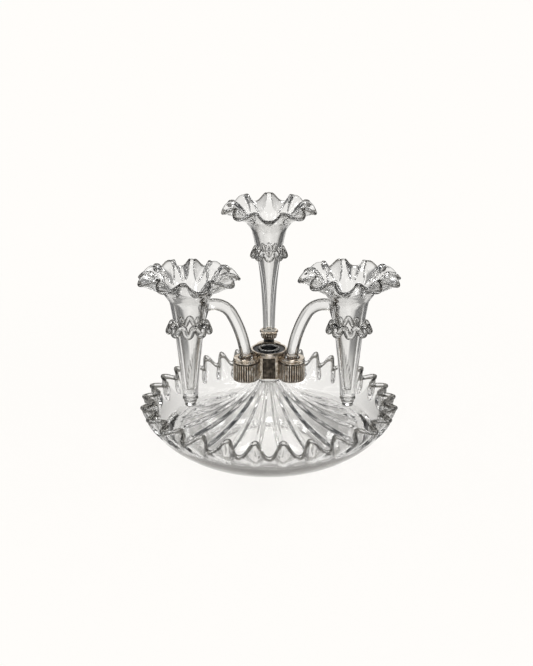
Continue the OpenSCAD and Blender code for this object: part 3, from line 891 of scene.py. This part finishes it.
@dataclass
class Trumpet:
    """One trumpet of blown glass, with its ruffled mouth and crimped collar.

    What begins with dark is how much painted shade darkens its stretch of glass when it is looked through
    edgeways.
    """

    base_d: float
    swell_d: float
    neck_d: float
    foot_z: float
    neck_z: float
    mouth_d: float
    mouth_h: float
    collar_z: float
    collar_d: float
    facing: float
    finger_at: float
    crowd: float
    finger_in: float
    ruffles: int
    knop_z: float | None = None
    knop_l: float = 12.0
    knop_d: float = 15.2
    knop_tip_d: float = 12.4
    knop_neck_d: float = 13.2
    root_wall: float = 4.0
    root_solid: float = 7.0
    neck_wall: float = 3.8
    lip_wall: float = 2.8
    lobe_out: float = 3.6
    lobe_w: float = 0.8
    lobe_l: float = 0.68
    lobe_ease: float = 0.65
    ruffle_drop: float = 5.6
    ruffle_start: float = 0.3
    ruffle_grow: float = 1.1
    uneven: float = 0.08
    front_ease: float = 0.28
    droop: float = 0.22
    frills: int = 9
    frill_steps: int = 36
    frill_sides: int = 20
    frill_out: float = 1.6
    frill_drop: float = 3.3
    frill_t: float = 6.2
    steps: int = 320
    body_rows: int = 30
    flare_rows: int = 24
    # Painted shade: how much the edge mark darkens each stretch of the trumpet's glass.
    dark: float = 0.35
    dark_bore: float = 0.9
    dark_flare: float = 0.5
    dark_lip: float = 3.0
    dark_knop: float = 2.0
    dark_collar: float = 2.6

    def __post_init__(self) -> None:
        """Draws the body's and the mouth's curves from the sizes."""
        foot, neck, low, high = self.foot_z, self.neck_z, 0.32, 0.66
        base, swell, neck_r = self.base_d / 2, self.swell_d / 2, self.neck_d / 2
        half, root = (base + swell) / 2, foot + self.root_solid
        self.outside = Curve((base, foot), (half, mix(foot, neck, low)),
                             (swell, mix(foot, neck, high)), (neck_r, neck))
        self.inside = Curve((base - self.root_wall, root), (half - self.root_wall, mix(root, neck, low)),
                            (swell - self.neck_wall, mix(foot, neck, high)), (neck_r - self.neck_wall, neck))
        mouth_r, rise = self.mouth_d / 2, self.mouth_h
        self.flare = Curve((neck_r, neck), (neck_r + rise / 3, neck + rise / 2),
                           (mouth_r - rise / 2, neck + rise * 0.9), (mouth_r, neck + rise))
        self.collar_r = (self.collar_d - self.frill_t) / 2

    def foot(self) -> list[Point]:
        """Draws what is under the body: a knop of three beads, or a plain end.

        Returns:
            Its points, from the axis outwards.
        """
        if self.knop_z is None:
            return [(0, self.foot_z), (self.base_d / 2 - 0.6, self.foot_z)]
        low, long, tip, wide = self.knop_z, self.knop_l, self.knop_tip_d / 2, self.knop_d / 2
        points = [(0, low), (0.4 * tip, low + 0.01 * long), (0.62 * tip, low + 0.05 * long)]
        for reach, share, bead in ((0.86 * tip, 0.19, 1.5), (tip, 0.46, 1.3), (wide, 0.75, 1.5)):
            middle = low + share * long
            points += [(reach - 1.7, middle - bead), *arc((reach - bead, middle), bead, -70, 70, 7)]
        neck = self.knop_neck_d / 2
        return points + [(neck - 0.3, low + 0.9 * long), (neck + 0.2, low + 0.96 * long)]

    def profile(self) -> list[Row]:
        """Draws the section of the glass.

        Returns:
            The section, with the mouth's rows marked by their place on the flare.
        """
        section = rows(self.foot() + self.outside.trail(0.0, 1.0, self.body_rows))
        shares = [i / self.flare_rows for i in range(1, self.flare_rows)]
        section += [(*self.flare.at(t), t) for t in shares]
        half = self.lip_wall / 2
        lean = math.degrees(math.atan2(*self.flare.left(1)[::-1]))
        section += rows(arc(tuple(self.flare.shifted(1, half)), half * 1.12, lean - 190, lean + 10, 9), 1.0)
        walls = [(t, mix(self.neck_wall, self.lip_wall, t)) for t in reversed(shares)]
        section += [(*self.flare.shifted(t, wall), t) for t, wall in walls]
        section += rows(self.inside.trail(1.0, 0.0, self.body_rows))
        root_r, root_z = self.inside.a
        return section + rows([(root_r * 0.8, root_z - 0.6), (root_r * 0.45, root_z - 1), (0, root_z - 1.1)])

    def ruffle(self, points: Array, flare: Array) -> Array:
        """Ruffles the mouth into upright fingers and wide lobes that droop between them.

        Args:
            points: the vertices.
            flare: the place of each on the flare.

        Returns:
            Their new places.
        """
        grow = np.clip((flare - self.ruffle_start) / (1 - self.ruffle_start), 0, 1) ** self.ruffle_grow
        turn, first = bearing(points) + math.radians(self.facing), math.radians(self.finger_at)
        fold = self.ruffles * (turn - first) - self.crowd * (np.cos(turn) - math.cos(first))
        size = (1 + self.uneven * np.sin(3 * turn + 0.6)) * (1 - self.front_ease * (1 - np.sin(turn)))
        wave = rounded(-np.cos(fold)) * size + self.droop
        off = np.abs(fold / math.pi % 2 - 1)
        press = pressed(off / self.lobe_w, (1 - flare) / self.lobe_l, self.lobe_ease)
        out = (self.lobe_out + self.finger_in) * press - self.finger_in * grow
        return swung(points, out, -self.ruffle_drop * wave * grow)

    def loop(self, turn: Array) -> Array:
        """Follows the middle of the collar's rod.

        Args:
            turn: directions from the axis, in radians.

        Returns:
            The rod's middle in each direction.
        """
        wave = rounded(np.cos(self.frills * (turn - math.radians(FRONT - self.facing))))
        reach = self.collar_r + self.frill_out * wave
        height = self.collar_z - self.frill_drop * wave
        return np.stack([reach * np.cos(turn), reach * np.sin(turn), height], 1)

    def pinch(self, points: Array) -> Array:
        """Bends a plain ring along the collar's loops.

        Args:
            points: the ring's vertices.

        Returns:
            Their new places.
        """
        turn, small = bearing(points), 1e-4
        along = self.loop(turn + small) - self.loop(turn - small)
        along /= np.linalg.norm(along, axis=1)[:, None]
        side = np.stack([np.cos(turn), np.sin(turn), np.zeros(len(turn))], 1)
        side -= (side * along).sum(1)[:, None] * along
        side /= np.linalg.norm(side, axis=1)[:, None]
        across = (radii(points) - self.collar_r)[:, None]
        return self.loop(turn) + across * side + points[:, 2, None] * np.cross(side, along)

    def collar(self, name: str) -> Piece:
        """Trails a rod of glass round the body and pinches it into loops.

        Args:
            name: the collar's name.

        Returns:
            The collar.
        """
        bpy.ops.object.select_all(action="DESELECT")
        bpy.ops.mesh.primitive_torus_add(
            major_segments=self.frills * self.frill_steps, minor_segments=self.frill_sides,
            major_radius=self.collar_r * MM, minor_radius=self.frill_t / 2 * MM)
        rod = name_piece(bpy.context.object, name)
        reshape(rod, self.pinch)
        # Painted shade: the collar's rod is darkened all over by its edge mark.
        mark(settle(rod), "edge", self.dark_collar)
        return rod

    def blow(self, name: str) -> Piece:
        """Turns and ruffles the trumpet, and melts the collar on.

        Args:
            name: the trumpet's name.

        Returns:
            The trumpet, round the Z axis.
        """
        turned = Turned(name, self.profile(), self.steps)
        body = turned.make()
        points = points_of(body)
        flare, height = turned.swing(points), points[:, 2]
        deep = self.outside.radius_at(height) - radii(points)
        # Painted shade: the edge mark darkens the bore, the flare, the lip and the knop.
        glass = np.where(flare > 0, self.dark_flare, self.dark + self.dark_bore * ramp(deep, 1, 2.5))
        knop = ramp(height, self.foot_z, self.foot_z - 1.5)
        mark(body, "edge", glass + self.dark_lip * ramp(flare, 0.9, 0.98) + self.dark_knop * knop)
        reshape(body, lambda found: self.ruffle(found, flare))
        return fuse(body, self.collar(f"{name}_collar"))


@dataclass
class SideVase:
    """A side trumpet with the bent arm that carries it.

    The joint's rows are shares of the arm's last, level run, with the factor that each swells by.
    """

    side: Side
    cup_reach: float = 26.0
    side_reach: float = 87.4
    cork_top: float = 103.4
    stem_d: float = 10.4
    stem_l: float = 17.0
    arm_d: float = 11.6
    foot_d: float = 14.6
    foot_h: float = 3.6
    lean: float = 8.0
    turn: float = 30.0
    wide: float = 124.0
    wide_steps: int = 18
    tight: float = 27.0
    tight_steps: int = 26
    sunk: float = 1.9
    joint: tuple[Span, ...] = ((0.55, 1.0), (0.2, 1.1), (0.25, 1.1))
    tail_l: float = 9.0
    tail_d: float = 3.0
    tail_sunk: float = 0.4
    ring: int = 48
    # Painted shade: how much the edge mark darkens the arm's glass, with more above its foot.
    dark: float = 0.4
    dark_arm: float = 1.1

    def trumpet(self) -> Trumpet:
        """The trumpet at the arm's end, whose fingers differ between left and right."""
        finger_at, crowd = (87, 2.0) if self.side is Side.LEFT else (98, 0.5)
        return Trumpet(base_d=15, swell_d=24.8, neck_d=36.6, foot_z=78, neck_z=173, mouth_d=89, mouth_h=24,
                       collar_z=147, collar_d=42, facing=self.side.value, finger_at=finger_at, crowd=crowd,
                       finger_in=9.5, ruffles=10, knop_z=66)

    def bend(self, start: float, end: float, radius: float, at: Point, steps: int) -> Point:
        """Spins the open end of the arm along one bend.

        Args:
            start: lean from upright at the bend's start, in degrees.
            end: lean at its end.
            radius: the bend's radius.
            at: where it starts, by reach and height.
            steps: rings along the bend.

        Returns:
            Where it ends.
        """
        low, high = math.radians(start), math.radians(end)
        centre = (at[0] + radius * math.cos(low), at[1] - radius * math.sin(low))
        bpy.ops.mesh.spin(steps=steps, angle=low - high, axis=(0, 1, 0),
                          center=(centre[0] * MM, 0, centre[1] * MM))
        return (centre[0] - radius * math.cos(high), centre[1] + radius * math.sin(high))

    def arm(self, trumpet: Trumpet) -> Piece:
        """Bends the solid rod, from the foot into the trumpet's wall.

        Args:
            trumpet: the trumpet that it carries.

        Returns:
            The rod, with its foot and the tail under its end.
        """
        start = (self.cup_reach, self.cork_top + self.foot_h)
        bpy.ops.object.select_all(action="DESELECT")
        bpy.ops.mesh.primitive_circle_add(vertices=self.ring, radius=self.arm_d / 2 * MM,
                                          location=(start[0] * MM, 0, start[1] * MM),
                                          rotation=(0, math.radians(self.lean), 0))
        rod = name_piece(bpy.context.object, "arm_rod")
        bpy.ops.object.transform_apply(location=True, rotation=True)
        bpy.ops.object.mode_set(mode="EDIT")
        bpy.ops.mesh.select_all(action="SELECT")
        knee = self.bend(self.lean, self.turn, self.wide, start, self.wide_steps)
        top = self.bend(self.turn, 90, self.tight, knee, self.tight_steps)
        inside = self.side_reach - trumpet.outside.radius_at(top[1]) + self.sunk
        run = inside - top[0]
        for share, swell in self.joint:
            bpy.ops.mesh.extrude_region_move(TRANSFORM_OT_translate={"value": (run * share * MM, 0, 0)})
            bpy.ops.transform.resize(value=(1, swell, swell), center_override=(inside * MM, 0, top[1] * MM))
        bpy.ops.mesh.edge_face_add()
        bpy.ops.mesh.select_all(action="DESELECT")
        bpy.ops.mesh.select_non_manifold(extend=False)
        bpy.ops.mesh.edge_face_add()
        bpy.ops.object.mode_set(mode="OBJECT")
        return fuse(settle(rod), self.foot(), self.tail(trumpet, top[1]))

    def tail(self, trumpet: Trumpet, height: float) -> Piece:
        """Draws out the drip of glass under the arm's end.

        Args:
            trumpet: the trumpet that it lies against.
            height: the height of the arm's end.

        Returns:
            The drip.
        """
        top = height - self.arm_d / 2 + 3.4
        wide, thin, long = self.arm_d * 0.36, self.tail_d / 2, self.tail_l
        drip = [(0, top), (self.arm_d * 0.34, top), (wide, top - 2)]
        drip += [(mix(wide, thin, s), top - 2 - long * s) for s in (0.3, 0.6, 0.9)]
        drip += [(thin * 0.6, top - 2.7 - long), (0, top - 3 - long)]
        reach = self.side_reach - trumpet.outside.radius_at(height) + self.tail_sunk
        return place(Turned("arm_tail", rows(drip), 32).make(), 0, reach)

    def foot(self) -> Piece:
        """Turns the foot ring that rests on the cork, and the peg inside the cork.

        Returns:
            The foot, out at its cup's reach.
        """
        low, top = self.cork_top - self.stem_l, self.cork_top
        stem, wide, arm, tall = self.stem_d / 2, self.foot_d / 2, self.arm_d / 2, self.foot_h
        points = [(0, low), (stem - 1, low), (stem - 0.3, low + 0.3), (stem, low + 1), (stem, top)]
        points += [(wide - 1, top), *arc((wide - 1.3, top + 1.5), 1.3, -60, 80, 8)]
        points += [(arm + 0.5, top + tall * 0.86), (arm + 0.1, top + tall * 1.05)]
        points += [(arm - 0.6, top + tall * 1.3), (0, top + tall * 1.3)]
        return place(Turned("arm_foot", rows(points), 64).make(), 0, self.cup_reach)

    def build(self) -> None:
        """Blows the trumpet, melts the arm on and turns the vase to its cup."""
        name = self.side.name.lower()
        trumpet = self.trumpet()
        vase = place(trumpet.blow(f"{name}_vase_glass"), 0, self.side_reach)
        arm, low = self.arm(trumpet), self.cork_top + self.foot_h
        # Painted shade: the arm's glass darkens more above its foot.
        mark(arm, "edge", self.dark + self.dark_arm * ramp(points_of(arm)[:, 2], low, low + 3))
        settle(place(fuse(vase, arm), self.side.value, 0), GLASS_CREASE)
        dress(vase, f"{name}_vase", Slot.GLASS, GLASS, f"{name}_trumpet", f"{name}_collar", f"{name}_arm")


@dataclass
class RearVase:
    """The tall rear trumpet, set with plaster in its plated ferrule."""

    cup_reach: float = 26.0
    ferrule_z: float = 111.6
    ferrule_h: float = 8.0
    ferrule_d: float = 15.4
    bore_d: float = 13.0
    floor_t: float = 1.6
    flange_d: float = 18.6
    flange_h: float = 2.6
    spigot_d: float = 6.04
    gadroons: int = 20
    gadroon_ease: float = 0.6
    gadroon_deep: float = 0.6
    crest_wear: Span = (0.85, 1.2)
    plain_wear: Span = (1.1, 1.6)

    def trumpet(self) -> Trumpet:
        """The trumpet that stands in the ferrule."""
        return Trumpet(base_d=11.2, swell_d=15, neck_d=35, foot_z=114.2, neck_z=223.7, mouth_d=84,
                       mouth_h=21, collar_z=200.7, collar_d=34.6, facing=Side.REAR.value, finger_at=90,
                       crowd=0.4, finger_in=5.5, ruffles=9)

    def ferrule(self) -> Piece:
        """Turns the gadrooned ferrule with its rolled flange.

        Returns:
            The ferrule, over its cup.
        """
        low, top, floor = self.ferrule_z, self.ferrule_z + self.ferrule_h, self.ferrule_z + self.floor_t
        wall, flange, roll = self.ferrule_d / 2 + 0.5, self.flange_d / 2, self.flange_h / 2
        spigot, bore, band = self.spigot_d / 2, self.bore_d / 2, top - self.flange_h
        section = rows([(spigot, floor), (spigot, low), (wall - 1.4, low)])
        section += rows([(wall - 0.8, low + 0.2), (wall - 0.6, low + 0.8), (wall - 0.7, low + 1.2)], 0.3)
        for share in (i / 8 for i in range(9)):
            belly = math.sin(math.pi * mix(0.06, 0.94, share))
            section.append((wall - 0.5 + 0.55 * belly, mix(low + 1.4, band - 1, share), 1.0))
        section += rows([(wall - 0.6, band - 0.7), (wall - 0.3, band - 0.3)], 0.3)
        section += rows(arc((flange - roll, top - roll), roll, -80, 95, 9))
        section += rows([(bore + 0.5, top - 0.1), (bore, top - 0.5)])
        section += rows([(bore, mix(top, floor, 0.5)), (bore, floor)])
        turned = Turned("rear_ferrule_band", section + [section[0]], self.gadroons * 12)
        ferrule = turned.flute(self.gadroons, self.gadroon_ease, self.gadroon_deep,
                               self.crest_wear, self.plain_wear)
        return settle(place(ferrule, Side.REAR.value, self.cup_reach), PLATE_CREASE)

    def build(self) -> None:
        """Blows the trumpet, sets it in its ferrule and finishes what holds it."""
        vase = place(self.trumpet().blow("rear_vase_glass"), Side.REAR.value, self.cup_reach)
        dress(settle(vase, GLASS_CREASE), "rear_vase", Slot.GLASS, GLASS, "rear_trumpet", "rear_collar")
        dress(self.ferrule(), "rear_vase", Slot.SILVER, SILVER, "rear_ferrule")
        refinish("ferrule_plaster", PLASTER)
        refinish("rear_stem", BLACK)


# The mount

@dataclass
class Mount:
    """The plated drum with its three reeded cups, worn panels, gasket and corks."""

    cup_reach: float = 26.0
    cup_r: float = 12.5
    seat_z: float = 82.0
    cup_top: float = 104.7
    bore_r: float = 7.95
    bore_floor: float = 84.0
    lip_h: float = 4.2
    reeds: int = 32
    reed_ease: float = 0.8
    reed_deep: float = 0.8
    crest_wear: Span = (1.05, 1.5)
    plain_wear: Span = (1.0, 1.4)
    drum_wear: float = 0.8
    panel_wear: float = 0.3
    edge: float = 0.3
    edge_steps: int = 3
    edge_angle: float = 35.0
    bush_in: float = 10.46
    bush_sleeve: float = 11.74
    bush_out: float = 15.95
    bush_floor: float = 105.5
    bush_top: float = 108.3
    bush_low: float = 84.4

    def cup(self, side: Side) -> None:
        """Turns one cup, reeds its wall and sets it on the drum.

        Args:
            side: the cup's side.
        """
        r, bore, low, top = self.cup_r, self.bore_r, self.seat_z, self.cup_top
        lip = top - self.lip_h
        section = rows([(0, low), (r - 1.1, low), (r - 0.4, low + 0.15), (r - 0.1, low + 0.45)], 0.2)
        section += rows([(r, low + 0.9)], 0.2) + rows([(r, low + 1.3)], 0.5)
        section += rows([(r, mix(low + 1.5, lip - 0.9, i / 10)) for i in range(11)], 1.0)
        section += rows([(r, lip - 0.7)], 0.5)
        section += rows([(r - 0.1, lip - 0.3), (r - 0.7, lip - 0.05), (r - 0.75, lip + 0.3)], 0.3)
        section += rows(arc((r - 0.9, lip + 1.2), 0.9, -70, 80, 8))
        section += rows([(r - 0.55, lip + 2.15)], 0.3)
        section += rows(arc((r - 1.0, top - 1.05), 1.0, -60, 100, 8))
        section += rows([(r - 2.4, top - 0.15), (bore + 1.1, top - 0.2), (bore + 0.7, top)], 0.1)
        section += rows([(bore + 0.2, top), (bore, top - 0.3)])
        section += rows([(bore, self.bore_floor), (0, self.bore_floor)])
        name = side.name.lower()
        turned = Turned(f"{name}_cup", section, self.reeds * 12)
        cup = turned.flute(self.reeds, self.reed_ease, self.reed_deep, self.crest_wear, self.plain_wear)
        settle(place(cup, side.value, self.cup_reach), PLATE_CREASE)
        dress(cup, "hub", Slot.SILVER, SILVER, f"{name}_socket")

    def soften(self, node: str, name: str, slot: Slot, finish: Finish, wear: float) -> None:
        """Copies a node, rounds its edges and finishes the copy in its place.

        Args:
            node: the node of the frame.
            name: the copy's name.
            slot: its slot.
            finish: its finish.
            wear: how high its plate stands for wear, from 0 to 1.
        """
        copy = bpy.data.objects.new(name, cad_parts[node].data.copy())
        bpy.context.scene.collection.objects.link(copy)
        only(copy)
        bpy.ops.object.mode_set(mode="EDIT")
        bpy.ops.mesh.select_all(action="SELECT")
        bpy.ops.mesh.remove_doubles(threshold=WELD)
        bpy.ops.mesh.dissolve_limited(angle_limit=math.radians(1))
        bpy.ops.object.mode_set(mode="OBJECT")
        bevel = copy.modifiers.new("round", "BEVEL")
        bevel.width = self.edge * MM
        bevel.segments = self.edge_steps
        bevel.limit_method = "ANGLE"
        bevel.angle_limit = math.radians(self.edge_angle)
        bevel.harden_normals = False
        bpy.ops.object.modifier_apply(modifier=bevel.name)
        mark(soften_shading(copy, 40), "relief", wear)
        dress(copy, "hub", slot, finish, node)

    def gasket(self) -> None:
        """Turns the rubber bush with its soft-edged flange."""
        inner, sleeve, outer = self.bush_in, self.bush_sleeve, self.bush_out
        low, floor, top = self.bush_low, self.bush_floor, self.bush_top
        middle = (floor + top) / 2
        points = [(inner, low), (sleeve, low)] + [(sleeve, mix(low, floor, i / 3)) for i in range(1, 4)]
        points += [(outer - 0.5, floor), (outer - 0.1, floor + 0.3)]
        points += arc((outer - 1.0, top - 1.0), 1.0, 0, 90, 6)
        points += [(mix(outer, inner, 0.5), top - 0.12)]
        points += arc((inner + 0.7, top - 0.7), 0.7, 90, 180, 5)
        points += [(inner, middle), (inner, mix(low, middle, 0.5))]
        gasket = Turned("gasket_bush", rows(points + [points[0]]), 128).make()
        dress(settle(gasket, 45), "bush", Slot.RUBBER, RUBBER, "hub_bush")

    def build(self) -> None:
        """Makes the cups, drum, panels, gasket and corks."""
        for side in Side:
            self.cup(side)
        self.soften("hub_drum", "drum_shell", Slot.SILVER, SILVER, self.drum_wear)
        for panel in ("front_panel", "left_panel", "right_panel"):
            self.soften(panel, f"{panel}_plate", Slot.DARK_PLATE, DARK_PLATE, self.panel_wear)
        self.gasket()
        for cork in ("left_cork", "right_cork", "rear_cork"):
            refinish(cork, CORK)


# The studio

@dataclass(frozen=True)
class Lamp:
    """A soft lamp, with its place, width and height in metres and its power in watts."""

    name: str
    at: tuple[float, float, float]
    size: Point
    power: float

    def hang(self, aim: Vector) -> None:
        """Hangs the lamp where it isn't mirrored.

        Args:
            aim: the point that it faces.
        """
        light = bpy.data.lights.new(self.name, "AREA")
        light.shape, light.energy = "RECTANGLE", self.power
        light.size, light.size_y = self.size
        lamp = bpy.data.objects.new(self.name, light)
        lamp.location = self.at
        lamp.visible_glossy = False
        lamp.rotation_euler = (aim - Vector(self.at)).to_track_quat("-Z", "Y").to_euler()
        bpy.context.scene.collection.objects.link(lamp)


@dataclass
class Studio:
    """The floor, the bright tent round the part, its lamps and the camera."""

    aim: tuple[float, float, float] = (-0.00245, 0.0, 0.1252)
    distance: float = 1.4
    elevation: float = 19.5
    lens: float = 77.1
    paper: Colour = (1.0, 0.983, 0.957)
    ambient: float = 0.55
    floor_size: float = 60.0
    floor_glow: float = 0.88
    glow_span: Span = (0.25, 0.7)
    flag: Colour = (0.05, 0.052, 0.055)
    sides: int = 4
    seam_span: Span = (0.0, 0.4)
    seam_start: Span = (0.2, 0.34)
    through: float = 0.8
    inside: float = 1.0
    roof_span: Span = (0.42, 0.62)
    roof: float = 0.3
    top_span: Span = (0.8, 0.88)
    top: float = 0.9
    strips: int = 10
    strip_span: Span = (0.86, 0.97)
    strip_rise: Span = (0.42, 0.55)
    strip_glow: float = 5.0
    bounces: int = 32
    gloss_bounces: int = 12
    lamps: tuple[Lamp, ...] = (
        Lamp("key_lamp", (-0.9, -0.9, 1.3), (0.3, 0.9), 9),
        Lamp("fill_lamp", (1.1, -0.7, 1.0), (0.25, 0.8), 5),
        Lamp("back_lamp", (0.2, 1.2, 1.1), (0.7, 0.3), 5),
    )

    def camera(self) -> None:
        """Sets the camera at the photograph's viewing angle."""
        lens = bpy.data.cameras.new("camera")
        lens.lens, lens.sensor_width, lens.clip_start = self.lens, 36, 0.01
        camera = bpy.data.objects.new("camera", lens)
        rise = math.radians(self.elevation)
        camera.location = Vector(self.aim) + self.distance * Vector((0, -math.cos(rise), math.sin(rise)))
        camera.rotation_euler = (math.pi / 2 - rise, 0, 0)
        bpy.context.scene.collection.objects.link(camera)
        bpy.context.scene.camera = camera

    @staticmethod
    def looks(sheet: Sheet) -> tuple[Wire, Wire]:
        """Whether the camera looks straight at a point, and whether it looks by way of metal or glass."""
        bounced = sheet.ray("Is Glossy Ray").peak(sheet.ray("Is Transmission Ray"))
        return sheet.ray("Is Camera Ray"), bounced

    @staticmethod
    def around(sheet: Sheet, way: Wire, count: int) -> Wire:
        """A wave that goes round the part a number of times."""
        x, y = (sheet.add("SeparateXYZ", None, {0: way}, out=i) for i in range(2))
        return (sheet.add("Math", {"operation": "ARCTAN2"}, {0: y, 1: x}) * count).cosine()

    def seams(self, sheet: Sheet, way: Wire) -> Wire:
        """How dark the seams between the tent's sides are, deeper in reflections inside the glass.

        Args:
            sheet: the tree.
            way: the direction from the part.

        Returns:
            0 on a side, and the most in the middle of a seam.
        """
        inner = sheet.fade(sheet.ray("Glossy Depth"), 0, 1, self.through, self.inside)
        return (1 - sheet.fade(self.around(sheet, way, self.sides), *self.seam_span)) * inner

    def floor(self) -> None:
        """Lays the pale floor, which keeps the part's shadow."""
        bpy.ops.object.select_all(action="DESELECT")
        bpy.ops.mesh.primitive_plane_add(size=self.floor_size)
        floor = name_piece(bpy.context.object, "floor")
        paper = bpy.data.materials.new("floor_paper")
        paper.use_nodes = True
        sheet = Sheet(paper.node_tree)
        camera, bounced = self.looks(sheet)
        spot = sheet.place()
        far = sheet.add("VectorMath", {"operation": "LENGTH"}, {0: spot}, out=1)
        light = 1 - self.seams(sheet, spot) * sheet.fade(far, *self.seam_start)
        tone = sheet.blend(camera.peak(light), self.flag, self.paper)
        glow = sheet.add("Emission", None, {"Color": tone, "Strength": 1})
        dull = sheet.add("BsdfDiffuse", None, {"Color": self.paper})
        share = camera.peak(bounced) * sheet.fade(far, *self.glow_span, self.floor_glow, 1)
        sheet.add("OutputMaterial", None, {"Surface": sheet.mixed(share, dull, glow)})
        floor.data.materials.append(paper)

    def tent(self) -> None:
        """Lights the part from a white tent with soft dark seams, which draw the edges of the glass."""
        world = bpy.data.worlds.new("tent")
        bpy.context.scene.world = world
        world.use_nodes = True
        sheet = Sheet(world.node_tree)
        way = sheet.add("TexCoord", out="Generated")
        height = sheet.add("SeparateXYZ", None, {0: way}, out=2)
        sides = (1 - self.seams(sheet, way)) * sheet.fade(height, *self.roof_span, 1, self.roof)
        light = sides.peak(sheet.fade(height, *self.top_span, 0, self.top))
        strip = sheet.fade(self.around(sheet, way, self.strips), *self.strip_span)
        strip = strip * sheet.fade(height, *self.strip_rise)
        tent = sheet.add("Background", None, {
            "Color": sheet.blend(light, self.flag, self.paper), "Strength": 1 + self.strip_glow * strip})
        plain = sheet.add("Background", None, {"Color": (1, 1, 1), "Strength": self.ambient})
        paper = sheet.add("Background", None, {"Color": self.paper, "Strength": 1})
        camera, bounced = self.looks(sheet)
        seen = sheet.mixed(camera, sheet.mixed(bounced, plain, tent), paper)
        sheet.add("OutputWorld", None, {"Surface": seen})

    def build(self) -> None:
        """Sets up the floor, the light and the camera."""
        self.floor()
        self.tent()
        for lamp in self.lamps:
            lamp.hang(Vector(self.aim))
        self.camera()
        scene = bpy.context.scene
        scene.view_settings.view_transform = "Standard"
        scene.cycles.max_bounces = self.bounces
        scene.cycles.transmission_bounces = self.bounces
        scene.cycles.glossy_bounces = self.gloss_bounces
        scene.cycles.transparent_max_bounces = self.bounces


def main() -> None:
    """Builds the part and its studio."""
    logging.basicConfig(level=logging.INFO, format="%(name)s: %(message)s")
    Bowl().build()
    Mount().build()
    SideVase(Side.LEFT).build()
    SideVase(Side.RIGHT).build()
    RearVase().build()
    Studio().build()


if __name__ == "__main__":
    main()
